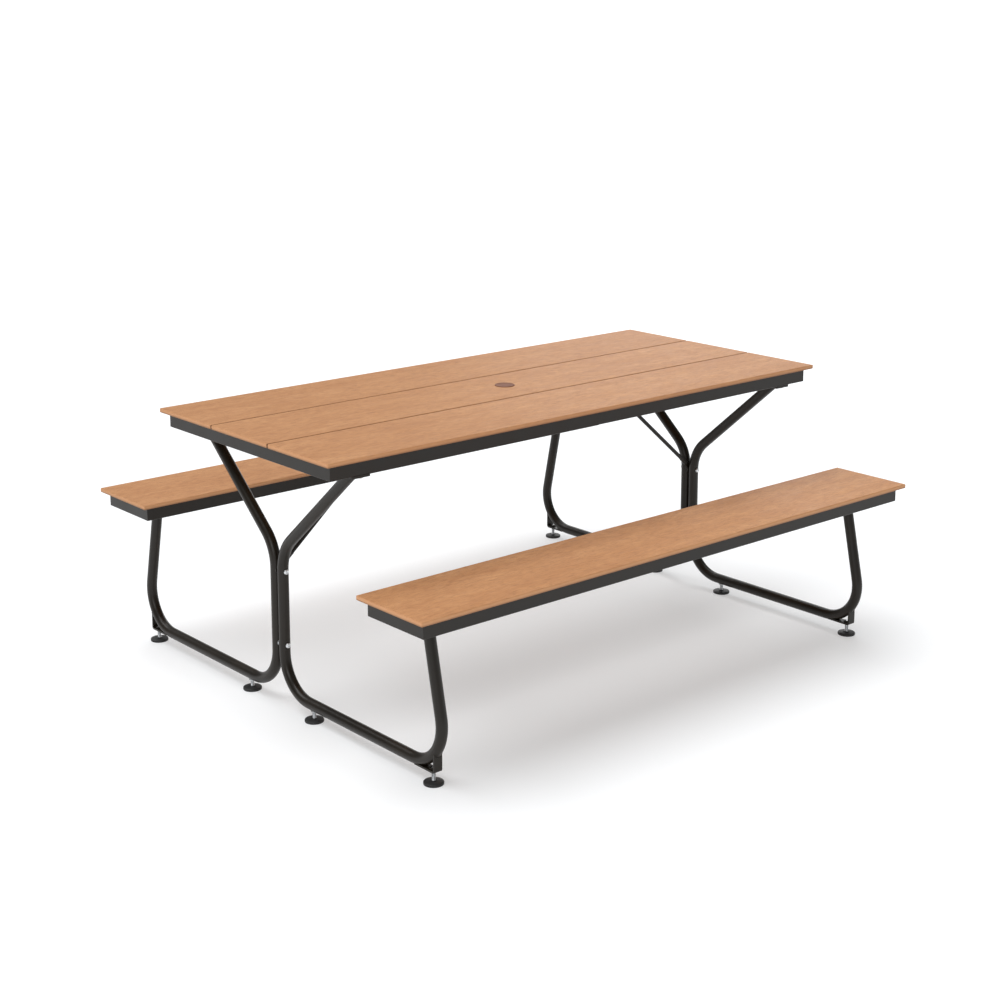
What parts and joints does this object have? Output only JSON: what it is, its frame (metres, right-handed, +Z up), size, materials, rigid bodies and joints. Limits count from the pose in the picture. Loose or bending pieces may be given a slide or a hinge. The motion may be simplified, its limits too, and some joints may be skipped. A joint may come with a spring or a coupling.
{
  "type": "picnic table",
  "caption": "Picnic table with a boarded top and two attached benches on bent round-tube end frames, braced, with levelling feet and an umbrella hole under a lift-out cap.",
  "frame": {"origin": "on the floor under the middle of the table, feet at their rest height", "axes": "+X along the table, +Y across it to the left seat, +Z up"},
  "size_m": [1.8, 1.5, 0.764],
  "materials": {
    "board": "wood-grain composite board, satin",
    "frame_paint": "charcoal powder coat, satin",
    "zinc": "bright zinc plate",
    "pad_plastic": "moulded black nylon",
    "sleeve_plastic": "moulded black plastic",
    "cap_plastic": "moulded brown plastic"
  },
  "bodies": {
    "table": {"table_board_centre": "board", "table_board_left": "board", "table_board_right": "board", "seat_board_left": "board", "seat_board_right": "board", "table_side_rail_left": "frame_paint", "table_side_rail_right": "frame_paint", "table_end_rail_west": "frame_paint", "table_end_rail_east": "frame_paint", "table_leg_rail_west": "frame_paint", "table_brace_rail_west": "frame_paint", "table_leg_rail_east": "frame_paint", "table_brace_rail_east": "frame_paint", "table_centre_rails": "frame_paint", "seat_left_side_rail_outer": "frame_paint", "seat_left_side_rail_inner": "frame_paint", "seat_left_end_rail_west": "frame_paint", "seat_left_end_rail_east": "frame_paint", "seat_left_cross_rails": "frame_paint", "seat_right_side_rail_outer": "frame_paint", "seat_right_side_rail_inner": "frame_paint", "seat_right_end_rail_west": "frame_paint", "seat_right_end_rail_east": "frame_paint", "seat_right_cross_rails": "frame_paint", "frame_tube_west_left": "frame_paint", "frame_tube_west_right": "frame_paint", "frame_tube_east_left": "frame_paint", "frame_tube_east_right": "frame_paint", "arm_plates_west": "frame_paint", "seat_plates_west": "frame_paint", "arm_plates_east": "frame_paint", "seat_plates_east": "frame_paint", "foot_brackets": "frame_paint", "brace_west": "frame_paint", "brace_east": "frame_paint", "umbrella_sleeve": "sleeve_plastic", "bracket_nuts": "frame_paint", "tube_inserts": "zinc", "mounting_bolts": "zinc", "through_bolts": "zinc", "through_bolt_nuts": "zinc", "post_spacers": "zinc", "board_screws": "zinc"},
    "umbrella_cap": {"umbrella_cap": "cap_plastic"},
    "foot_pad_west_left_outer": {"foot_pad_west_left_outer": "pad_plastic"},
    "foot_stud_west_left_outer": {"foot_stud_west_left_outer": "zinc"},
    "foot_pad_west_left_inner": {"foot_pad_west_left_inner": "pad_plastic"},
    "foot_stud_west_left_inner": {"foot_stud_west_left_inner": "zinc"},
    "foot_pad_west_right_outer": {"foot_pad_west_right_outer": "pad_plastic"},
    "foot_stud_west_right_outer": {"foot_stud_west_right_outer": "zinc"},
    "foot_pad_west_right_inner": {"foot_pad_west_right_inner": "pad_plastic"},
    "foot_stud_west_right_inner": {"foot_stud_west_right_inner": "zinc"},
    "foot_pad_east_left_outer": {"foot_pad_east_left_outer": "pad_plastic"},
    "foot_stud_east_left_outer": {"foot_stud_east_left_outer": "zinc"},
    "foot_pad_east_left_inner": {"foot_pad_east_left_inner": "pad_plastic"},
    "foot_stud_east_left_inner": {"foot_stud_east_left_inner": "zinc"},
    "foot_pad_east_right_outer": {"foot_pad_east_right_outer": "pad_plastic"},
    "foot_stud_east_right_outer": {"foot_stud_east_right_outer": "zinc"},
    "foot_pad_east_right_inner": {"foot_pad_east_right_inner": "pad_plastic"},
    "foot_stud_east_right_inner": {"foot_stud_east_right_inner": "zinc"}
  },
  "joints": [
    {"name": "umbrella_cap_lift", "type": "slide", "parent": "table", "child": "umbrella_cap", "axis": [0, 0, 1], "range_m": [0, 0.03]},
    {"name": "foot_west_left_outer_height", "type": "slide", "parent": "table", "child": "foot_pad_west_left_outer", "axis": [0, 0, -1], "range_m": [-0.007, 0.004]},
    {"name": "foot_west_left_outer_spin", "type": "hinge", "parent": "foot_pad_west_left_outer", "child": "foot_stud_west_left_outer", "pos_m": [-0.785, 0.645, 0.02], "axis": [0, 0, -1], "range_deg": [-1690, 970]},
    {"name": "foot_west_left_inner_height", "type": "slide", "parent": "table", "child": "foot_pad_west_left_inner", "axis": [0, 0, -1], "range_m": [-0.007, 0.004]},
    {"name": "foot_west_left_inner_spin", "type": "hinge", "parent": "foot_pad_west_left_inner", "child": "foot_stud_west_left_inner", "pos_m": [-0.785, 0.147, 0.02], "axis": [0, 0, -1], "range_deg": [-1690, 970]},
    {"name": "foot_west_right_outer_height", "type": "slide", "parent": "table", "child": "foot_pad_west_right_outer", "axis": [0, 0, -1], "range_m": [-0.007, 0.004]},
    {"name": "foot_west_right_outer_spin", "type": "hinge", "parent": "foot_pad_west_right_outer", "child": "foot_stud_west_right_outer", "pos_m": [-0.785, -0.645, 0.02], "axis": [0, 0, -1], "range_deg": [-1690, 970]},
    {"name": "foot_west_right_inner_height", "type": "slide", "parent": "table", "child": "foot_pad_west_right_inner", "axis": [0, 0, -1], "range_m": [-0.007, 0.004]},
    {"name": "foot_west_right_inner_spin", "type": "hinge", "parent": "foot_pad_west_right_inner", "child": "foot_stud_west_right_inner", "pos_m": [-0.785, -0.147, 0.02], "axis": [0, 0, -1], "range_deg": [-1690, 970]},
    {"name": "foot_east_left_outer_height", "type": "slide", "parent": "table", "child": "foot_pad_east_left_outer", "axis": [0, 0, -1], "range_m": [-0.007, 0.004]},
    {"name": "foot_east_left_outer_spin", "type": "hinge", "parent": "foot_pad_east_left_outer", "child": "foot_stud_east_left_outer", "pos_m": [0.785, 0.645, 0.02], "axis": [0, 0, -1], "range_deg": [-1690, 970]},
    {"name": "foot_east_left_inner_height", "type": "slide", "parent": "table", "child": "foot_pad_east_left_inner", "axis": [0, 0, -1], "range_m": [-0.007, 0.004]},
    {"name": "foot_east_left_inner_spin", "type": "hinge", "parent": "foot_pad_east_left_inner", "child": "foot_stud_east_left_inner", "pos_m": [0.785, 0.147, 0.02], "axis": [0, 0, -1], "range_deg": [-1690, 970]},
    {"name": "foot_east_right_outer_height", "type": "slide", "parent": "table", "child": "foot_pad_east_right_outer", "axis": [0, 0, -1], "range_m": [-0.007, 0.004]},
    {"name": "foot_east_right_outer_spin", "type": "hinge", "parent": "foot_pad_east_right_outer", "child": "foot_stud_east_right_outer", "pos_m": [0.785, -0.645, 0.02], "axis": [0, 0, -1], "range_deg": [-1690, 970]},
    {"name": "foot_east_right_inner_height", "type": "slide", "parent": "table", "child": "foot_pad_east_right_inner", "axis": [0, 0, -1], "range_m": [-0.007, 0.004]},
    {"name": "foot_east_right_inner_spin", "type": "hinge", "parent": "foot_pad_east_right_inner", "child": "foot_stud_east_right_inner", "pos_m": [0.785, -0.147, 0.02], "axis": [0, 0, -1], "range_deg": [-1690, 970]}
  ],
  "couplings": [
    {"joint": "foot_west_left_outer_spin", "follows": "foot_west_left_outer_height", "rad_per_m": 4188.8},
    {"joint": "foot_west_left_inner_spin", "follows": "foot_west_left_inner_height", "rad_per_m": 4188.8},
    {"joint": "foot_west_right_outer_spin", "follows": "foot_west_right_outer_height", "rad_per_m": 4188.8},
    {"joint": "foot_west_right_inner_spin", "follows": "foot_west_right_inner_height", "rad_per_m": 4188.8},
    {"joint": "foot_east_left_outer_spin", "follows": "foot_east_left_outer_height", "rad_per_m": 4188.8},
    {"joint": "foot_east_left_inner_spin", "follows": "foot_east_left_inner_height", "rad_per_m": 4188.8},
    {"joint": "foot_east_right_outer_spin", "follows": "foot_east_right_outer_height", "rad_per_m": 4188.8},
    {"joint": "foot_east_right_inner_spin", "follows": "foot_east_right_inner_height", "rad_per_m": 4188.8}
  ]
}
